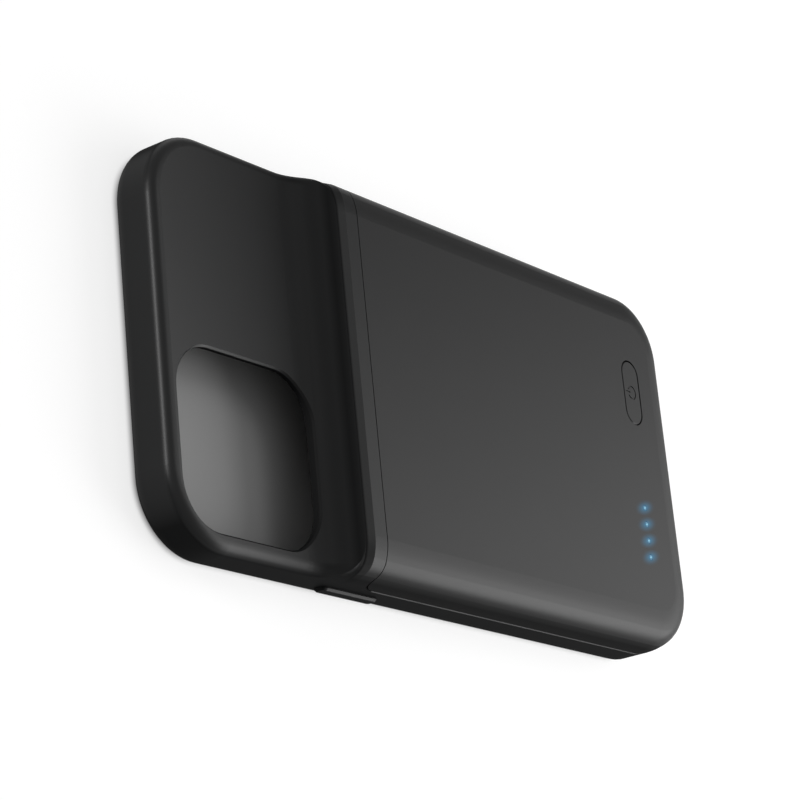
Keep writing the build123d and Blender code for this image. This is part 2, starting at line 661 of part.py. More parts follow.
def board_capacitors():
    """A row of chip capacitors."""
    shape = along_z(Rectangle(CAPACITOR_WIDTH, CAPACITOR_LENGTH), BOARD_TOP, BOARD_TOP + CAPACITOR_HEIGHT)
    y = END_Y + CAPACITOR_FROM_END
    return [Pos(CAPACITOR_X + CAPACITOR_PITCH * i, y) * shape for i in range(CAPACITOR_COUNT)]


def status_leds():
    """The light chips under the light guide."""
    shape = Rectangle(LIGHT_CHIP_WIDTH, LIGHT_CHIP_LENGTH)
    shape = along_z(shape, BOARD_TOP, LIGHT_CHIP_TOP)
    return [place * shape for place in light_places()]


def light_guide():
    """The clear moulding: a bar over the chips with one round pipe through the cover for each."""
    length = LIGHT_PITCH * (LIGHT_COUNT - 1) + 2 * GUIDE_BAR_MARGIN
    bar = Pos(LIGHTS_X, LIGHTS_Y) * RectangleRounded(length, GUIDE_BAR_WIDTH, GUIDE_BAR_CORNER)
    guide = along_z(bar, LIGHT_CHIP_TOP + GUIDE_CHIP_GAP, COVER_CEILING)
    for place in light_places():
        guide += along_z(place * Circle(LIGHT_RADIUS), COVER_CEILING, PACK_TOP)
    return guide


def power_mark():
    """The sign sunk into the button: a ring that is open towards the phone's top end, and a bar."""
    ring = Circle(MARK_RADIUS + MARK_LINE / 2) - Circle(MARK_RADIUS - MARK_LINE / 2)
    ring -= Pos(0, MARK_RADIUS) * Rectangle(MARK_OPENING, MARK_RADIUS)
    bar = Pos(0, MARK_RADIUS) * Rectangle(MARK_LINE, MARK_BAR_LENGTH)
    return Pos(BUTTON_X, BUTTON_Y) * (ring + bar)


def power_button():
    """The pill-shaped cap, held under the cover by its flange, with a post on to the switch."""
    cap = along_z(button_shape(0), FLANGE_TOP, PACK_TOP)
    cap = chamfer(cap.faces().sort_by(Axis.Z)[-1].edges(), BUTTON_EDGE)
    cap -= along_z(power_mark(), PACK_TOP - MARK_DEPTH, PACK_TOP + PAST)
    cap += along_z(button_shape(BUTTON_FLANGE), FLANGE_TOP - BUTTON_FLANGE_THICKNESS, FLANGE_TOP)
    post = Pos(BUTTON_X, BUTTON_Y) * Circle(BUTTON_POST_RADIUS)
    return cap + along_z(post, PLUNGER_TOP, FLANGE_TOP - BUTTON_FLANGE_THICKNESS)


def tact_switch():
    """The switch's body, with the well that its plunger sinks into."""
    place = Pos(BUTTON_X, BUTTON_Y)
    body = along_z(place * Rectangle(SWITCH_SIZE, SWITCH_SIZE), BOARD_TOP, SWITCH_TOP)
    well = SWITCH_TOP - PLUNGER_SINK - BUTTON_TRAVEL - PLUNGER_GAP
    return body - along_z(place * Circle(PLUNGER_RADIUS + PLUNGER_GAP), well, SWITCH_TOP + PAST)


def switch_plunger():
    """The switch's moving top."""
    return along_z(Pos(BUTTON_X, BUTTON_Y) * Circle(PLUNGER_RADIUS), SWITCH_TOP - PLUNGER_SINK, PLUNGER_TOP)


def plug_base():
    """The plug's moulded base, in the tower's seat."""
    seat = Pos(0, PHONE_MIDDLE) * Rectangle(BASE_WIDTH, BASE_HEIGHT)
    return along_y(seat, PLUG_SHOULDER_Y, TOWER_BACK_Y)


def contact_blocks():
    """The plug's contacts, in rows on both faces of the tongue."""
    first = -CONTACT_PITCH * (CONTACT_COUNT - 1) / 2
    tip = PLUG_TIP_Y - CONTACT_FROM_TIP
    pads = []
    for face in (-1, 1):
        z = sorted(PHONE_MIDDLE + face * (PLUG_THICKNESS / 2 - depth) for depth in (0, CONTACT_DEPTH))
        for i in range(CONTACT_COUNT):
            x = first + CONTACT_PITCH * i
            reach = (x - CONTACT_WIDTH / 2, x + CONTACT_WIDTH / 2)
            pads.append(block(reach, (tip - CONTACT_LENGTH, tip), z))
    return pads


def phone_plug():
    """The plug's metal tongue, with seats for its contacts."""
    section = Pos(0, PHONE_MIDDLE) * SlotOverall(PLUG_WIDTH, PLUG_THICKNESS)
    tongue = along_y(section, PLUG_SHOULDER_Y, PLUG_TIP_Y)
    tongue = chamfer(tongue.faces().sort_by(Axis.Y)[-1].edges(), PLUG_TIP_EDGE)
    for pad in contact_blocks():
        tongue -= pad
    return tongue


def plug_flex():
    """The flat cable, up out of the chin and under the main board."""
    foot = (flex_y(), PHONE_MIDDLE + BASE_HEIGHT / 2)
    level = FLEX_TOP - FLEX_THICKNESS
    end = SOCKET_BACK_Y + FLEX_BOARD_REACH
    inner = FilletPolyline(foot, (foot[0], FLEX_TOP), (end, FLEX_TOP), radius=FLEX_BEND + FLEX_THICKNESS)
    back = foot[0] + FLEX_THICKNESS
    outer = FilletPolyline((back, foot[1]), (back, level), (end, level), radius=FLEX_BEND)
    edges = inner + outer + Line(foot, (back, foot[1])) + Line((end, level), (end, FLEX_TOP))
    return along_x(make_face(edges.edges()), -FLEX_WIDTH / 2, FLEX_WIDTH / 2)


def charge_socket_shell():
    """The socket's drawn steel shell, closed at its back."""
    shell = along_y(socket_shape(0), SOCKET_MOUTH_Y, SOCKET_BACK_Y)
    return shell - along_y(socket_shape(-SOCKET_SHEET), SOCKET_MOUTH_Y - PAST, SOCKET_BACK_Y - SOCKET_SHEET)


def charge_socket_tongue():
    """The socket's insulator at the back of the shell, with the tongue that carries its contacts."""
    back = SOCKET_BACK_Y - SOCKET_SHEET
    front = back - SOCKET_BASE_DEPTH
    base = along_y(socket_shape(-SOCKET_SHEET), front, back)
    blade = Pos(0, SOCKET_Z) * Rectangle(TONGUE_WIDTH, TONGUE_THICKNESS)
    return base + along_y(blade, front - TONGUE_LENGTH, front)


NODES = {
    "soft_frame": soft_frame,
    "back_cover": back_cover,
    "inner_tray": inner_tray,
    "housing_screws": housing_screws,
    "battery_cell": battery_cell,
    "cell_tape": cell_tape,
    "cell_tabs": cell_tabs,
    "protection_board": protection_board,
    "battery_leads": battery_leads,
    "main_board": main_board,
    "control_chip": control_chip,
    "power_inductor": power_inductor,
    "board_capacitors": board_capacitors,
    "status_leds": status_leds,
    "light_guide": light_guide,
    "power_button": power_button,
    "tact_switch": tact_switch,
    "switch_plunger": switch_plunger,
    "plug_base": plug_base,
    "phone_plug": phone_plug,
    "plug_contacts": contact_blocks,
    "plug_flex": plug_flex,
    "charge_socket_shell": charge_socket_shell,
    "charge_socket_tongue": charge_socket_tongue,
}


def main():
    """Build every node and write it."""
    os.makedirs("parts", exist_ok=True)
    for name, make in NODES.items():
        shape = make()
        if isinstance(shape, list):
            shape = Compound(children=shape)
        export_step(shape, f"parts/{name}.step")


if __name__ == "__main__":
    main()
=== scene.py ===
"""Looks for a battery charging case: matte mouldings with a fine grain, four lit charge lights, a push
button, the metal and boards inside, and a plain studio.
"""
import math

import bmesh
import bpy
from bpy.props import FloatProperty, FloatVectorProperty, IntProperty, PointerProperty
from mathutils import Euler, Matrix, Vector


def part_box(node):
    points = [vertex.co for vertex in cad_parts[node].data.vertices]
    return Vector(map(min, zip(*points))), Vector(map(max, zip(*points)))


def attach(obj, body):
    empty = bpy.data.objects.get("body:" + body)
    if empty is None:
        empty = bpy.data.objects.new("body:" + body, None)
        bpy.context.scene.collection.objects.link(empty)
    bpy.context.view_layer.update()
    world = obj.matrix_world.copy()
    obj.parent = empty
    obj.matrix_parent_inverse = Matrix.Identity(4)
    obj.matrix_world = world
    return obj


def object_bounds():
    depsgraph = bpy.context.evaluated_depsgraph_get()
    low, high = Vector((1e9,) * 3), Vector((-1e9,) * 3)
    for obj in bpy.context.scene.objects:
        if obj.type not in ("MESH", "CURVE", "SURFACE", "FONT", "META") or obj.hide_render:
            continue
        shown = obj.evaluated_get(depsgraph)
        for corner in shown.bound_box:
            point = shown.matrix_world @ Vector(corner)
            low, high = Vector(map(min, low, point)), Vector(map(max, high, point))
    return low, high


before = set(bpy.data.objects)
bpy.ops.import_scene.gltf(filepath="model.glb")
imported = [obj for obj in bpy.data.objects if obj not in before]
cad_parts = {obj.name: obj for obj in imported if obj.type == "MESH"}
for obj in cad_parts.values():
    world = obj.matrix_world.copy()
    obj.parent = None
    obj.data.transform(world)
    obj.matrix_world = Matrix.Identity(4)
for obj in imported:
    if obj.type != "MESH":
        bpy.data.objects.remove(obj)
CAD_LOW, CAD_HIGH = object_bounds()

bl_info = {
    "name": "Battery charging case looks",
    "version": (1, 0, 0),
    "blender": (4, 5, 0),
    "location": "3D View > Sidebar > Case",
    "description": "Finishes, small details and a studio for a battery charging case",
    "category": "Object",
}

MM = 0.001
BLACK = (0.0, 0.0, 0.0)
WHITE = (1.0, 1.0, 1.0)

# Mouldings: the sizes of the mottle, of the sheen of handling and of the grain, and what they do to the gloss
MOTTLE_SIZE = 14 * MM
SHEEN_SIZE = 22 * MM
SHEEN_SWING = 0.06
GRAIN_SIZE = 0.16 * MM
GRAIN_DEPTH = 0.004 * MM
GRAIN_SWING = 0.04

# Satin skin: between which upward shares of the surface's direction the back's skin comes in, and between
# which lengthwise shares the end walls' does
BACK_SKIN_FROM, BACK_SKIN_FULL = 0.05, 0.75
END_SKIN_FROM, END_SKIN_FULL = 0.6, 1.0
UNDER_SKIN_ROUGHNESS = 0.5

# How much satin skin the soft frame has on the way from the ramp's crest (0) to the top end (1), as painted
# shade: bare in a line below the crest as a painted shadow line, thin over the ramp and its foot as the
# hump's painted shade, and full at the top end
PAINTED_SHADE_SKIN_PAST_CREST = ((0.01, 0.0), (0.045, 0.48), (0.13, 0.25), (0.21, 0.25), (0.4, 0.42), (1.0, 0.86))
SEAM_SKIN_FADE = 0.6 * MM

# Metals: the cloudy plating, the fine scratches, and how pieces that are drawn or rolled stretch them
PLATING_SIZE = 3 * MM
PLATING_DARK = 0.2
SCRATCH_SIZE = 0.06 * MM
SCRATCH_DEPTH = 0.0008 * MM
SCRATCH_SWING = 0.16
EVEN = (1.0, 1.0, 1.0)
DRAWN = (1.0, 0.06, 1.0)
ROLLED = (1.0, 0.08, 1.0)
CRINKLE_SIZE = 6 * MM
CRINKLE_DEPTH = 0.12 * MM

# Circuit boards: tracks in patches that run along the case or across it, with bare fields between
TRACK_PITCH = 0.8 * MM
TRACK_HALF = 0.17
TRACK_RISE = 0.02 * MM
TRACK_LIGHTER = -0.7
PATCH_SIZE = 8 * MM
FIELD_SIZE = 4 * MM
FIELD_LEVEL = 0.45

# Finishes of two colours: their dark specks
SPECK_SIZE = 0.4 * MM
SPECK_DARK = 0.16
SPECK_DEPTH = 0.003 * MM
SPECK_SWING = 0.12

# Charge lights: how far the bright core and the glow reach, in radii, and the dome on a light chip
CORE_REACH = 0.07
GLOW_REACH = 0.48
DOME_EDGE, DOME_TOP = 0.35 * MM, 0.2 * MM

# Parts on the main board: a capacitor's bare half length, the switch's metal lid, the flat cable's tracks
CAPACITOR_BARE = 0.5 * MM
SWITCH_LID = 0.3 * MM
FLEX_PITCH = 0.9 * MM
FLEX_HALF = 0.28

# Studio: half the floor's width, and where each lamp stands, how wide it is and which setting is its power
FLOOR_HALF = 4.0
LAMPS = {
    "back_lamp": ((-0.1, -1.0, 0.65), 1.0, "back_power"),
    "near_lamp": ((-0.2, -0.42, 0.27), 0.3, "near_power"),
    "side_lamp": ((-0.34, -0.36, 0.16), 0.2, "side_power"),
    "top_lamp": ((0.3, -0.2, 0.93), 0.5, "top_power"),
    "front_lamp": ((0.3, 0.93, 0.1), 0.25, "front_power"),
}


def colour_prop(name, description, default):
    """A colour that a user would change."""
    return FloatVectorProperty(
        name=name, description=description, subtype="COLOR", size=3, min=0.0, max=1.0, default=default
    )


def length_prop(name, description, default):
    """A length that a user would change, in metres."""
    return FloatProperty(
        name=name, description=description, unit="LENGTH", subtype="DISTANCE", precision=5, default=default
    )


def share_prop(name, description, default):
    """A share from nothing to all that a user would change."""
    return FloatProperty(
        name=name, description=description, subtype="FACTOR", min=0.0, max=1.0, default=default
    )


def power_prop(name, description, default):
    """A lamp's power that a user would change, in watts."""
    return FloatProperty(name=name, description=description, unit="POWER", min=0.0, default=default)


def count_prop(name, description, default):
    """A count that a user would change."""
    return IntProperty(name=name, description=description, min=2, default=default)


class CaseFinishes(bpy.types.PropertyGroup):
    """Colours and gloss of what shows on the outside."""

    frame_colour: colour_prop("Soft frame", "Colour of the flexible moulding", (0.0085, 0.0087, 0.0089))
    cover_colour: colour_prop("Back cover", "Colour of the hard shell", (0.0105, 0.0106, 0.0107))
    skin_roughness: share_prop("Skin roughness", "How matte the satin skin of the mouldings is", 0.38)
    skin_back: share_prop("Skin on the back", "How much satin skin the pack's back has", 0.55)
    skin_ends: share_prop("Skin on the ends", "How much satin skin the upright end walls have", 0.36)
    skin_sides: share_prop("Skin on the sides", "How much satin skin the upright side walls have", 0.07)
    tray_colour: colour_prop("Inner tray", "Colour of the plate that closes the pack", (0.018, 0.018, 0.019))
    light_core: colour_prop("Light core", "Colour at the middle of a charge light", (0.17, 0.53, 0.7))
    light_glow: colour_prop("Light glow", "Colour at the edge of a charge light", (0.02, 0.14, 0.26))
    # Painted glow: the back cover gives off this colour as light round each charge light
    painted_halo_glow: colour_prop("Light halo", "Colour that shines through round a light", (0.0, 0.17, 0.33))
    guide_colour: colour_prop("Light guide", "Colour of the smoked clear moulding", (0.02, 0.035, 0.045))


class CaseInside(bpy.types.PropertyGroup):
    """Colours of the pieces inside."""

    steel: colour_prop("Steel", "Colour of screws, plug and socket", (0.6, 0.6, 0.61))
    gold: colour_prop("Gold", "Colour of the contacts", (0.83, 0.6, 0.24))
    nickel: colour_prop("Nickel", "Colour of the cell's tabs", (0.66, 0.64, 0.6))
    foil: colour_prop("Cell foil", "Colour of the cell's laminate", (0.7, 0.71, 0.73))
    foam: colour_prop("Foam tape", "Colour of the tape under the cell", (0.12, 0.12, 0.12))
    mask: colour_prop("Solder mask", "Colour of the circuit boards", (0.015, 0.11, 0.06))
    copper: colour_prop("Copper", "Colour of the tracks", (0.72, 0.36, 0.18))
    polyimide: colour_prop("Flat cable", "Colour of the plug's flat cable", (0.55, 0.24, 0.04))
    lead_plus: colour_prop("Plus lead", "Colour of the cell's plus lead", (0.5, 0.02, 0.02))
    lead_minus: colour_prop("Minus lead", "Colour of the cell's minus lead", (0.02, 0.02, 0.02))
    ceramic: colour_prop("Ceramic", "Colour of the capacitors", (0.5, 0.36, 0.2))
    ferrite: colour_prop("Ferrite", "Colour of the coil's shield", (0.11, 0.11, 0.115))
    epoxy: colour_prop("Chip", "Colour of the control chip", (0.022, 0.022, 0.024))
    insulator: colour_prop("Insulator", "Colour of the plug's and socket's mouldings", (0.018, 0.018, 0.02))
    light_chip: colour_prop("Light chip", "Colour of the light chips", (0.85, 0.85, 0.8))
    phosphor: colour_prop("Phosphor", "Colour of the dome on a light chip", (0.75, 0.62, 0.08))
    plunger: colour_prop("Plunger", "Colour of the switch's plunger", (0.16, 0.05, 0.03))


class CaseSizes(bpy.types.PropertyGroup):
    """Sizes of what is added to the case's solids."""

    lights: count_prop("Lights", "How many charge lights there are", 4)
    light_chip_width: length_prop("Light chip", "Width of a light chip", 1.6 * MM)
    light_radius: length_prop("Light radius", "Radius of a charge light's end", 0.5 * MM)
    # The halo is a glow painted on the back cover round each light; the guide's own glow takes the same oval
    halo_width: length_prop("Halo width", "How far a light shines through across the case", 1.95 * MM)
    halo_length: length_prop("Halo length", "How far a light shines through along the case", 4.15 * MM)
    halo_lean: share_prop("Halo lean", "How far a light leans sideways on its way along the case", 0.26)
    plan_corner: length_prop("Plan corner", "Radius of the case's corners, seen from above", 13.6 * MM)
    wall: length_prop("Wall", "Thickness of the case's side walls", 2.6 * MM)
    crest: length_prop("Crest", "Where the ramp's crest lies along the case", 32.4 * MM)
    contacts: count_prop("Contacts", "Contacts on each face of the socket's tongue", 12)
    contact_pitch: length_prop("Contact pitch", "Step from contact to contact", 0.5 * MM)
    contact_width: length_prop("Contact width", "Width of a socket contact", 0.28 * MM)
    contact_length: length_prop("Contact length", "Length of a socket contact", 3.4 * MM)
    contact_rise: length_prop("Contact rise", "How far a contact stands on the tongue", 0.03 * MM)
    contact_inset: length_prop("Contact inset", "How far a contact lies behind the tongue's tip", 0.4 * MM)
    contact_ease: length_prop("Contact ease", "How far a contact's edges are eased", 0.015 * MM)
    tongue_thickness: length_prop("Tongue", "Thickness of the socket's tongue", 0.7 * MM)


class CaseStage(bpy.types.PropertyGroup):
    """The studio round the case."""

    floor_colour: colour_prop("Floor", "Colour of the floor", (0.36, 0.36, 0.36))
    floor_white: share_prop("Floor white", "How far the floor is lifted towards white", 0.74)
    surround: share_prop("Surround", "Strength of the light from all round", 0.33)
    back_power: power_prop("Back lamp", "Power of the wide lamp behind the bottom end", 7.1)
    near_power: power_prop("Near lamp", "Power of the small lamp near the bottom end", 0.82)
    side_power: power_prop("Side lamp", "Power of the low lamp near the bottom corner", 0.4)
    top_power: power_prop("Top lamp", "Power of the lamp high above", 0.85)
    front_power: power_prop("Front lamp", "Power of the low lamp before the top end", 4.8)
    lens: FloatProperty(
        name="Lens", description="Focal length of the camera", subtype="DISTANCE_CAMERA", default=129.6
    )
    camera_place: FloatVectorProperty(
        name="Camera place", description="Where the camera stands", subtype="TRANSLATION", size=3,
        unit="LENGTH", precision=5, default=(-0.17084, 0.42528, 0.31157)
    )
    camera_turn: FloatVectorProperty(
        name="Camera turn", description="How the camera is turned", subtype="EULER", size=3, unit="ROTATION",
        precision=5, default=(math.radians(25.281), math.radians(-51.851), math.radians(-98.575))
    )


class Signal:
    """A node's output that Python's operators work on: each step adds a Math node."""

    def __init__(self, finish, socket):
        self.finish = finish
        self.socket = socket

    def step(self, operation, first, second=0.0):
        inputs = {0: first, 1: second}
        return self.finish.node("ShaderNodeMath", {"operation": operation}, inputs)

    def __add__(self, other):
        return self.step("ADD", self, other)

    def __sub__(self, other):
        return self.step("SUBTRACT", self, other)

    def __mul__(self, other):
        return self.step("MULTIPLY", self, other)

    def __truediv__(self, other):
        return self.step("DIVIDE", self, other)

    def __pow__(self, other):
        return self.step("POWER", self, other)

    def __radd__(self, other):
        return self.step("ADD", other, self)

    def __rsub__(self, other):
        return self.step("SUBTRACT", other, self)

    def __rmul__(self, other):
        return self.step("MULTIPLY", other, self)

    def __abs__(self):
        return self.step("ABSOLUTE", self)

    def __lt__(self, other):
        return self.step("LESS_THAN", self, other)

    def __gt__(self, other):
        return self.step("GREATER_THAN", self, other)

    def at_least(self, low):
        return self.step("MAXIMUM", self, low)

    def at_most(self, high):
        return self.step("MINIMUM", self, high)

    def whole(self):
        return self.step("ROUND", self)

    def rise(self, start, stop):
        """From 0 to 1, smoothly, as the signal goes from a start to a stop."""
        inputs = {"Value": self, "From Min": start, "From Max": stop}
        return self.finish.node("ShaderNodeMapRange", {"interpolation_type": "SMOOTHSTEP"}, inputs)


class Finish:
    """A material that is built node by node round a Principled shader."""

    def __init__(self, name, **sockets):
        self.material = bpy.data.materials.new(name)
        self.material.use_nodes = True
        self.tree = self.material.node_tree
        self.shader = self.tree.nodes["Principled BSDF"]
        self.place = self.node("ShaderNodeTexCoord", output="Object")
        for socket, value in sockets.items():
            self.feed(socket.replace("_", " ").title().replace("Ior", "IOR"), value)

    def node(self, kind, settings=None, inputs=None, output=0):
        """Add a node: its settings come first, then the values or links of its sockets."""
        made = self.tree.nodes.new(kind)
        for name, value in (settings or {}).items():
            if name == "stops":
                self.set_stops(made.color_ramp, value)
            else:
                setattr(made, name, value)
        for name, value in (inputs or {}).items():
            self.join(made.inputs[name], value)
        return Signal(self, made.outputs[output])

    def set_stops(self, ramp, stops):
        """Give a colour ramp its stops, as pairs of a place and a colour."""
        while len(ramp.elements) < len(stops):
            ramp.elements.new(1.0)
        for element, (place, colour) in zip(ramp.elements, stops):
            element.position = place
            element.color = (*colour, 1.0)

    def join(self, socket, value):
        """Link a signal to a socket, or set the socket's own value."""
        if isinstance(value, Signal):
            self.tree.links.new(value.socket, socket)
        elif socket.type == "RGBA" and len(value) == 3:
            socket.default_value = (*value, 1.0)
        else:
            socket.default_value = value

    def feed(self, socket, value):
        """Set or link one of the shader's sockets."""
        self.join(self.shader.inputs[socket], value)

    def noise(self, size, detail=2.0, stretch=EVEN):
        """Soft noise from 0 to 1, with features about as large as size, in metres."""
        scale = tuple(part / size for part in stretch)
        place = self.node("ShaderNodeVectorMath", {"operation": "MULTIPLY"}, {0: self.place, 1: scale})
        return self.node("ShaderNodeTexNoise", inputs={"Vector": place, "Scale": 1.0, "Detail": detail})

    def ramp(self, share, stops):
        """A colour along a row of stops."""
        return self.node("ShaderNodeValToRGB", {"stops": stops}, {"Fac": share})

    def mix(self, share, first, second):
        """A colour between two colours."""
        inputs = {"Factor": share, 6: first, 7: second}
        return self.node("ShaderNodeMix", {"data_type": "RGBA"}, inputs, 2)

    def bump(self, height, distance):
        """Let a height from 0 to 1 raise the surface by up to a distance, in metres."""
        self.feed("Normal", self.node("ShaderNodeBump", inputs={"Height": height, "Distance": distance}))

    def split(self, vector):
        """The three parts of a vector."""
        parts = self.node("ShaderNodeSeparateXYZ", inputs={"Vector": vector}).socket.node.outputs
        return [Signal(self, parts[axis]) for axis in "XYZ"]

    def axes(self):
        """The place on the object along X, Y and Z, in metres."""
        return self.split(self.place)


def shade(colour, share):
    """A colour made darker by a share, or lighter where the share is negative."""
    return tuple(part * (1.0 - share) for part in colour)


def moulded(name, colour, roughness, grain=GRAIN_SIZE, depth=GRAIN_DEPTH, mottle=0.1, **sockets):
    """Moulded plastic or rubber: a faintly mottled colour, the sheen of handling and an eroded grain."""
    finish = Finish(name, **sockets)
    cloud = finish.noise(MOTTLE_SIZE, 3.0)
    finish.feed("Base Color", finish.mix(cloud, shade(colour, mottle), shade(colour, -mottle)))
    sheen = finish.noise(SHEEN_SIZE)
    speck = finish.noise(grain, 1.0)
    finish.feed("Roughness", roughness + SHEEN_SWING * (sheen - 0.5) + GRAIN_SWING * (speck - 0.5))
    finish.bump(speck, depth)
    return finish


def satin(name, colour, finishes, skin=None):
    """A moulding with a satin skin on its back and ends: the skin thins out on side walls and underneath.

    A function for the skin says how much of it the back has from place to place.
    """
    gloss = finishes.skin_roughness
    finish = moulded(name, colour, UNDER_SKIN_ROUGHNESS, specular_ior_level=0.0, coat_roughness=gloss)
    _, lengthwise, upward = finish.split(finish.node("ShaderNodeTexCoord", output="Normal"))
    level = skin(finish) if skin else finishes.skin_back
    back = level * upward.rise(BACK_SKIN_FROM, BACK_SKIN_FULL)
    ends = finishes.skin_ends * abs(lengthwise).rise(END_SKIN_FROM, END_SKIN_FULL)
    finish.feed("Coat Weight", back.at_least(ends).at_least(finishes.skin_sides))
    return finish


def frame_skin_with_painted_shade(finishes, sizes):
    """How much satin skin the soft frame's back has, by the seam and past the crest, where thinner skin
    paints the hump's shade.
    """

    def share(finish):
        y = finish.axes()[1]
        way = (y - sizes.crest) / (CAD_HIGH[1] - sizes.crest)
        # Painted shade: less skin in a line below the crest and over the ramp, more towards the top end
        painted_shade_past_crest = finish.ramp(way, [(place, (level,) * 3) for place, level in PAINTED_SHADE_SKIN_PAST_CREST])
        by_seam = y.rise(sizes.crest, sizes.crest - SEAM_SKIN_FADE)
        return painted_shade_past_crest.at_least(finishes.skin_back * by_seam)

    return share


def metal(name, colour, roughness, stretch=EVEN):
    """Drawn or plated metal with fine uneven gloss."""
    finish = Finish(name, metallic=1.0)
    cloud = finish.noise(PLATING_SIZE, 3.0)
    scratch = finish.noise(SCRATCH_SIZE, 2.0, stretch)
    finish.feed("Base Color", finish.mix(cloud, shade(colour, PLATING_DARK), colour))
    finish.feed("Roughness", roughness + SCRATCH_SWING * (scratch - 0.5))
    finish.bump(scratch, SCRATCH_DEPTH)
    return finish


def circuit(name, inside):
    """A circuit board: solder mask over raised tracks, which run along the case or across it by patches."""
    finish = Finish(name, specular_ior_level=0.4)
    x, y, _ = finish.axes()
    lengthwise = stripes(x, TRACK_PITCH, TRACK_HALF)
    crosswise = stripes(y, TRACK_PITCH, TRACK_HALF)
    patch = finish.noise(PATCH_SIZE, 0.0) > 0.5
    laid = finish.noise(FIELD_SIZE, 0.0) > FIELD_LEVEL
    tracks = laid * (patch * lengthwise + (1 - patch) * crosswise)
    finish.feed("Base Color", finish.mix(tracks, inside.mask, shade(inside.mask, TRACK_LIGHTER)))
    finish.feed("Roughness", 0.32 + 0.1 * finish.noise(1.5 * MM))
    finish.bump(tracks, TRACK_RISE)
    return finish


def stripes(place, pitch, half):
    """1 on stripes that repeat by a pitch and 0 between: half is a stripe's half width, in pitches."""
    steps = place / pitch
    return abs(steps - steps.whole()) < half


def two_tone(name, share, first, second, roughness):
    """A finish that changes from a first colour to a second where a share of the place says so."""
    finish = Finish(name)
    mask = share(finish)
    speck = finish.noise(SPECK_SIZE, 3.0)
    first = finish.mix(SPECK_DARK * speck, first, BLACK)
    second = finish.mix(SPECK_DARK * speck, second, BLACK)
    finish.feed("Base Color", finish.mix(mask, first, second))
    finish.feed("Roughness", roughness + SPECK_SWING * (speck - 0.5))
    finish.bump(speck, SPECK_DEPTH)
    return finish, mask


def dress(node, finish):
    """Give a CAD node its finish."""
    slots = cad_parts[node].data.materials
    slots.clear()
    slots.append(finish.material)


def middle_of(node):
    """The middle of a CAD node's box."""
    low, high = (Vector(corner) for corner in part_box(node))
    return (low + high) / 2


def light_distance(finish, sizes, stretch=1.0, lean=0.0):
    """How far a place is from the nearest charge light, in metres.

    A stretch makes the way along the case count less, and a lean moves the light sideways on that way.
    """
    x, y, _ = finish.axes()
    low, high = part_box("status_leds")
    first = low[0] + sizes.light_chip_width / 2
    pitch = (high[0] - low[0] - sizes.light_chip_width) / (sizes.lights - 1)
    nearest = ((x - first) / pitch).whole().at_least(0).at_most(sizes.lights - 1)
    along = y - middle_of("status_leds").y
    across = x - first - pitch * nearest + lean * along
    along = along / stretch
    return (across * across + along * along) ** 0.5


def glow_distance(finish, sizes):
    """How far a place is from the nearest charge light for its glow, which is drawn out along the case: the
    guide's glow and the glow painted on the back cover.
    """
    return light_distance(finish, sizes, sizes.halo_length / sizes.halo_width, sizes.halo_lean)


def piece(name, shape, finish, body):
    """Make an object of a mesh, dress it and let it ride on a body."""
    mesh = bpy.data.meshes.new(name)
    shape.to_mesh(mesh)
    shape.free()
    mesh.materials.append(finish.material)
    made = bpy.data.objects.new(name, mesh)
    bpy.context.scene.collection.objects.link(made)
    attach(made, body)


class CASE_OT_soft_frame(bpy.types.Operator):
    """Finish the flexible moulding"""

    bl_idname = "case.soft_frame"
    bl_label = "Soft frame"

    def execute(self, context):
        finishes, sizes = context.scene.case_finishes, context.scene.case_sizes
        # The skin past the crest paints shade: a dark line below the crest and a darker ramp and panel by the
        # hump
        skin = frame_skin_with_painted_shade(finishes, sizes)
        dress("soft_frame", satin("soft_elastomer", finishes.frame_colour, finishes, skin))
        return {"FINISHED"}


class CASE_OT_back_cover(bpy.types.Operator):
    """Finish the hard shell, with a painted glow of the charge lights on it"""

    bl_idname = "case.back_cover"
    bl_label = "Back cover"

    def execute(self, context):
        finishes, sizes = context.scene.case_finishes, context.scene.case_sizes
        finish = satin("grained_shell", finishes.cover_colour, finishes)
        # Painted glow: the back cover gives off light round each charge light
        glow = (1 - glow_distance(finish, sizes) / sizes.halo_width).at_least(0.0)
        finish.feed("Emission Color", finish.mix(glow * glow, BLACK, finishes.painted_halo_glow))
        finish.feed("Emission Strength", 1.0)
        dress("back_cover", finish)
        return {"FINISHED"}


class CASE_OT_power_button(bpy.types.Operator):
    """Finish the push button and the plunger under it"""

    bl_idname = "case.power_button"
    bl_label = "Power button"

    def execute(self, context):
        finishes, inside = context.scene.case_finishes, context.scene.case_inside
        dress("power_button", satin("button_cap", finishes.cover_colour, finishes))
        dress("switch_plunger", moulded("plunger_resin", inside.plunger, roughness=0.42, mottle=0.2))
        return {"FINISHED"}


class CASE_OT_charge_lights(bpy.types.Operator):
    """Light the four ends of the light guide and the chips under it"""

    bl_idname = "case.charge_lights"
    bl_label = "Charge lights"

    def execute(self, context):
        finishes, sizes = context.scene.case_finishes, context.scene.case_sizes
        guide = Finish("lit_guide", emission_strength=1.0)
        cloud = guide.noise(0.5 * MM)
        smoke = finishes.guide_colour
        guide.feed("Base Color", guide.mix(cloud, smoke, shade(smoke, 0.3)))
        stops = [(CORE_REACH, finishes.light_core), (GLOW_REACH, finishes.light_glow)]
        guide.feed("Emission Color", guide.ramp(glow_distance(guide, sizes) / sizes.light_radius, stops))
        guide.feed("Roughness", 0.3 + 0.2 * cloud)
        dress("light_guide", guide)
        inside = context.scene.case_inside
        chip = Finish("light_chip", emission_strength=1.0)
        dome = light_distance(chip, sizes).rise(DOME_EDGE, DOME_TOP)
        chip.feed("Base Color", chip.mix(dome, inside.light_chip, inside.phosphor))
        chip.feed("Emission Color", chip.mix(dome, BLACK, finishes.light_core))
        chip.feed("Roughness", 0.35 + 0.2 * chip.noise(0.2 * MM))
        dress("status_leds", chip)
        return {"FINISHED"}


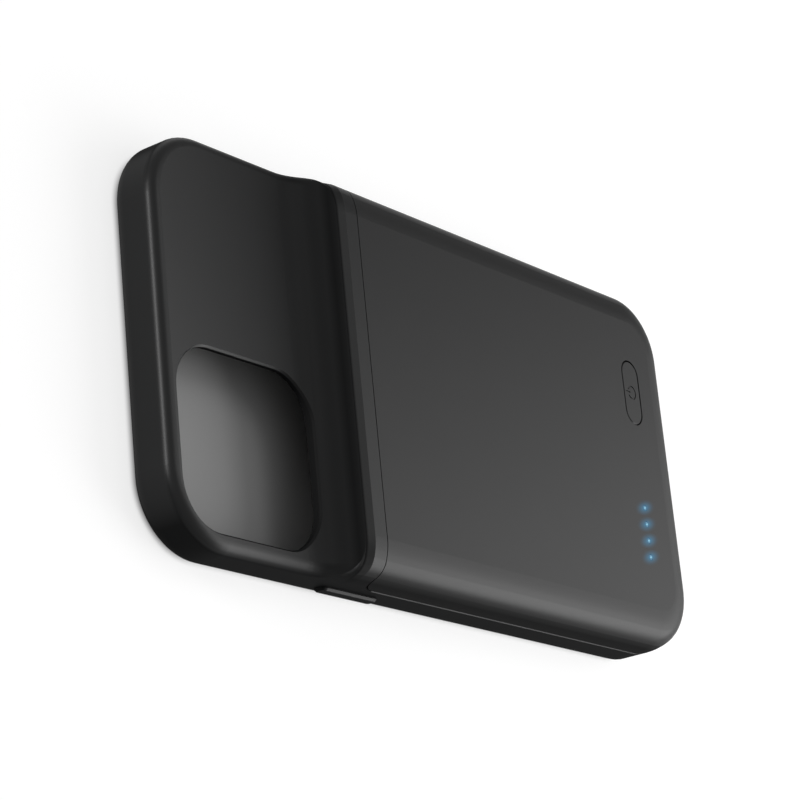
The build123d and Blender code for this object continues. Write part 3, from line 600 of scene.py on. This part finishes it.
class CASE_OT_inner_tray(bpy.types.Operator):
    """Finish the plate that closes the pack and its screws"""

    bl_idname = "case.inner_tray"
    bl_label = "Inner tray"

    def execute(self, context):
        finishes, inside = context.scene.case_finishes, context.scene.case_inside
        tray = moulded(
            "tray_resin", finishes.tray_colour, roughness=0.55, grain=0.3 * MM, depth=0.012 * MM,
            specular_ior_level=0.3
        )
        dress("inner_tray", tray)
        dress("housing_screws", metal("plated_screws", inside.steel, roughness=0.36))
        return {"FINISHED"}


class CASE_OT_battery(bpy.types.Operator):
    """Finish the cell, its tape, its tabs, its board and its leads"""

    bl_idname = "case.battery"
    bl_label = "Battery"

    def execute(self, context):
        inside = context.scene.case_inside
        foil = metal("laminate_foil", inside.foil, roughness=0.34)
        # The foil's crinkles take the place of the scratches
        foil.bump(foil.noise(CRINKLE_SIZE, 4.0), CRINKLE_DEPTH)
        dress("battery_cell", foil)
        foam = moulded("tape_foam", inside.foam, roughness=0.9, grain=0.5 * MM, depth=0.08 * MM, mottle=0.25)
        dress("cell_tape", foam)
        dress("cell_tabs", metal("nickel_tabs", inside.nickel, roughness=0.3, stretch=ROLLED))
        dress("protection_board", circuit("protection_mask", inside))
        leads, _ = two_tone(
            "lead_sleeves", lambda sleeve: sleeve.axes()[0] > 0.0, inside.lead_minus, inside.lead_plus,
            roughness=0.4
        )
        dress("battery_leads", leads)
        return {"FINISHED"}


class CASE_OT_boards(bpy.types.Operator):
    """Finish the main board, the parts on it and the flat cable"""

    bl_idname = "case.boards"
    bl_label = "Boards"

    def execute(self, context):
        inside = context.scene.case_inside
        dress("main_board", circuit("board_mask", inside))
        chip = moulded("chip_epoxy", inside.epoxy, roughness=0.5, grain=0.08 * MM)
        dress("control_chip", chip)
        coil = moulded(
            "coil_ferrite", inside.ferrite, roughness=0.62, grain=0.2 * MM, depth=0.02 * MM, mottle=0.25
        )
        dress("power_inductor", coil)
        row = middle_of("board_capacitors").y
        caps, ends = two_tone(
            "capacitor_ceramic", lambda cap: abs(cap.axes()[1] - row) > CAPACITOR_BARE, inside.ceramic,
            inside.nickel, roughness=0.4
        )
        caps.feed("Metallic", ends)
        dress("board_capacitors", caps)
        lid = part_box("tact_switch")[1][2] - SWITCH_LID
        switch, top = two_tone(
            "switch_can", lambda can: can.axes()[2] > lid, inside.epoxy, inside.steel, roughness=0.35
        )
        switch.feed("Metallic", top)
        dress("tact_switch", switch)
        flex, _ = two_tone(
            "flat_cable", lambda cable: stripes(cable.axes()[0], FLEX_PITCH, FLEX_HALF), inside.polyimide,
            inside.copper, roughness=0.36
        )
        dress("plug_flex", flex)
        return {"FINISHED"}


class CASE_OT_phone_plug(bpy.types.Operator):
    """Finish the plug in the chin"""

    bl_idname = "case.phone_plug"
    bl_label = "Phone plug"

    def execute(self, context):
        inside = context.scene.case_inside
        dress("plug_base", moulded("plug_moulding", inside.insulator, roughness=0.45))
        dress("phone_plug", metal("plug_steel", inside.steel, roughness=0.26, stretch=DRAWN))
        dress("plug_contacts", metal("plug_gold", inside.gold, roughness=0.22))
        return {"FINISHED"}


class CASE_OT_charge_socket(bpy.types.Operator):
    """Finish the charging socket and lay the contacts on its tongue"""

    bl_idname = "case.charge_socket"
    bl_label = "Charging socket"

    def execute(self, context):
        inside, sizes = context.scene.case_inside, context.scene.case_sizes
        dress("charge_socket_shell", metal("socket_steel", inside.steel, roughness=0.28, stretch=DRAWN))
        dress("charge_socket_tongue", moulded("socket_moulding", inside.insulator, roughness=0.42))
        gold = metal("socket_gold", inside.gold, roughness=0.24)
        piece("socket_contacts", contact_rows(sizes), gold, "case")
        return {"FINISHED"}


def contact_rows(sizes):
    """The contacts on both faces of the socket's tongue."""
    shape = bmesh.new()
    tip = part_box("charge_socket_tongue")[0][1]
    middle = tip + sizes.contact_inset + sizes.contact_length / 2
    level = middle_of("charge_socket_tongue").z
    first = -sizes.contact_pitch * (sizes.contacts - 1) / 2
    size = Matrix.Diagonal((sizes.contact_width, sizes.contact_length, 2 * sizes.contact_rise, 1.0))
    for face in (-1, 1):
        height = level + face * sizes.tongue_thickness / 2
        for i in range(sizes.contacts):
            place = Matrix.Translation((first + sizes.contact_pitch * i, middle, height))
            bmesh.ops.create_cube(shape, size=1.0, matrix=place @ size)
    bmesh.ops.bevel(shape, geom=shape.edges, offset=sizes.contact_ease, segments=1, affect="EDGES")
    return shape


class CASE_OT_stage(bpy.types.Operator):
    """Set the floor, the lamps, the surround and the camera"""

    bl_idname = "case.stage"
    bl_label = "Studio"

    def execute(self, context):
        stage = context.scene.case_stage
        context.scene.view_settings.view_transform = "Standard"
        make_floor(stage, context.scene.case_sizes)
        make_surround(stage)
        for name, (place, size, power) in LAMPS.items():
            make_lamp(name, place, size, getattr(stage, power))
        make_camera(stage)
        return {"FINISHED"}


def make_floor(stage, sizes):
    """A wide pale floor, white to the camera except under the case, where the white is left out as painted
    shade.
    """
    mesh = bpy.data.meshes.new("floor")
    shape = bmesh.new()
    bmesh.ops.create_grid(shape, x_segments=1, y_segments=1, size=FLOOR_HALF)
    shape.to_mesh(mesh)
    shape.free()
    floor = bpy.data.objects.new("floor", mesh)
    bpy.context.scene.collection.objects.link(floor)
    finish = Finish(
        "pale_floor", specular_ior_level=0.0, base_color=stage.floor_colour, emission_strength=1.0
    )
    finish.feed("Roughness", 0.9 + 0.1 * finish.noise(60 * MM))
    x, y, _ = finish.axes()
    # Painted shade: the floor's lift to white fades out from the case's edge to a wall's width inside it
    across = (abs(x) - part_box("back_cover")[1][0] + sizes.plan_corner).at_least(0.0)
    along = (abs(y) - CAD_HIGH[1] + sizes.plan_corner).at_least(0.0)
    reach = (across * across + along * along) ** 0.5
    beyond_painted_shade = reach.rise(sizes.plan_corner - sizes.wall, sizes.plan_corner)
    rays = finish.node("ShaderNodeLightPath").socket.node.outputs
    seen = Signal(finish, rays["Is Camera Ray"])
    for kind in ("Is Glossy Ray", "Is Transmission Ray"):
        seen = seen.at_least(Signal(finish, rays[kind]))
    white = (stage.floor_white,) * 3
    finish.feed("Emission Color", finish.mix(seen * beyond_painted_shade, BLACK, white))
    floor.data.materials.append(finish.material)


def make_surround(stage):
    """A plain white surround."""
    world = bpy.data.worlds.new("studio")
    world.use_nodes = True
    sky = world.node_tree.nodes["Background"]
    sky.inputs["Color"].default_value = (*WHITE, 1.0)
    sky.inputs["Strength"].default_value = stage.surround
    bpy.context.scene.world = world


def make_lamp(name, place, size, power):
    """A soft square lamp that faces the case."""
    light = bpy.data.lights.new(name, "AREA")
    light.shape = "SQUARE"
    light.size = size
    light.energy = power
    made = bpy.data.objects.new(name, light)
    made.location = place
    made.rotation_mode = "QUATERNION"
    made.rotation_quaternion = (-Vector(place)).to_track_quat("-Z", "Y")
    made.visible_camera = False
    bpy.context.scene.collection.objects.link(made)


def make_camera(stage):
    """The camera at the photograph's viewing angle."""
    data = bpy.data.cameras.new("camera")
    data.lens = stage.lens
    data.clip_start = 10 * MM
    camera = bpy.data.objects.new("camera", data)
    turn = Euler(stage.camera_turn).to_matrix().to_4x4()
    camera.matrix_world = Matrix.Translation(Vector(stage.camera_place)) @ turn
    bpy.context.scene.collection.objects.link(camera)
    bpy.context.scene.camera = camera


GROUPS = {
    "case_finishes": CaseFinishes,
    "case_inside": CaseInside,
    "case_sizes": CaseSizes,
    "case_stage": CaseStage,
}

STEPS = (
    CASE_OT_soft_frame,
    CASE_OT_back_cover,
    CASE_OT_power_button,
    CASE_OT_charge_lights,
    CASE_OT_inner_tray,
    CASE_OT_battery,
    CASE_OT_boards,
    CASE_OT_phone_plug,
    CASE_OT_charge_socket,
    CASE_OT_stage,
)


class CASE_PT_looks(bpy.types.Panel):
    """The case's steps and settings"""

    bl_idname = "CASE_PT_looks"
    bl_label = "Charging case"
    bl_space_type = "VIEW_3D"
    bl_region_type = "UI"
    bl_category = "Case"

    def draw(self, context):
        for step in STEPS:
            self.layout.operator(step.bl_idname)
        for name, group in GROUPS.items():
            box = self.layout.box()
            for setting in group.__annotations__:
                box.prop(getattr(context.scene, name), setting)


CLASSES = (*GROUPS.values(), *STEPS, CASE_PT_looks)


def register():
    """Add the classes and the scene's property groups."""
    for cls in CLASSES:
        bpy.utils.register_class(cls)
    for name, group in GROUPS.items():
        setattr(bpy.types.Scene, name, PointerProperty(type=group))


def unregister():
    """Remove what register added."""
    for name in GROUPS:
        delattr(bpy.types.Scene, name)
    for cls in reversed(CLASSES):
        bpy.utils.unregister_class(cls)


def main():
    """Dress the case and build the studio."""
    register()
    bpy.ops.case.soft_frame()
    bpy.ops.case.back_cover()
    bpy.ops.case.power_button()
    bpy.ops.case.charge_lights()
    bpy.ops.case.inner_tray()
    bpy.ops.case.battery()
    bpy.ops.case.boards()
    bpy.ops.case.phone_plug()
    bpy.ops.case.charge_socket()
    bpy.ops.case.stage()


if __name__ == "__main__":
    main()
